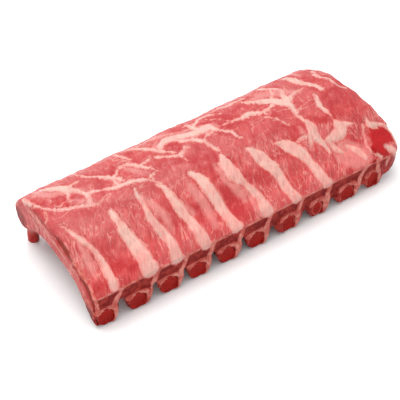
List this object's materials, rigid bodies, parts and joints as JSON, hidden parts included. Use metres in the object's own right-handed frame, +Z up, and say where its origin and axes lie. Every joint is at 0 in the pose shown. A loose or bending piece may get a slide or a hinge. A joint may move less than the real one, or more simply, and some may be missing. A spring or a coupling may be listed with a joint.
{
  "type": "rack of ribs",
  "caption": "Rack of raw back ribs: an arched slab of marbled meat lying bone side down on its curved rib bones.",
  "frame": {"origin": "middle of the footprint, on the surface that the rack rests on", "axes": "+X along the row of ribs, from the square end to the rounded end; +Y from the sawn front, where the rib ends show, to the thick back edge; +Z up"},
  "size_m": [0.333, 0.1326, 0.0677],
  "materials": {
    "meat": "moist raw meat, pinkish red with cream pink fat seams",
    "bone": "raw bone under a thin pink membrane, dark red marrow at the sawn end"
  },
  "bodies": {
    "root": {"meat": "meat", "rib_01": "bone", "rib_02": "bone", "rib_03": "bone", "rib_04": "bone", "rib_05": "bone", "rib_06": "bone", "rib_07": "bone", "rib_08": "bone", "rib_09": "bone", "rib_10": "bone"}
  },
  "joints": []
}
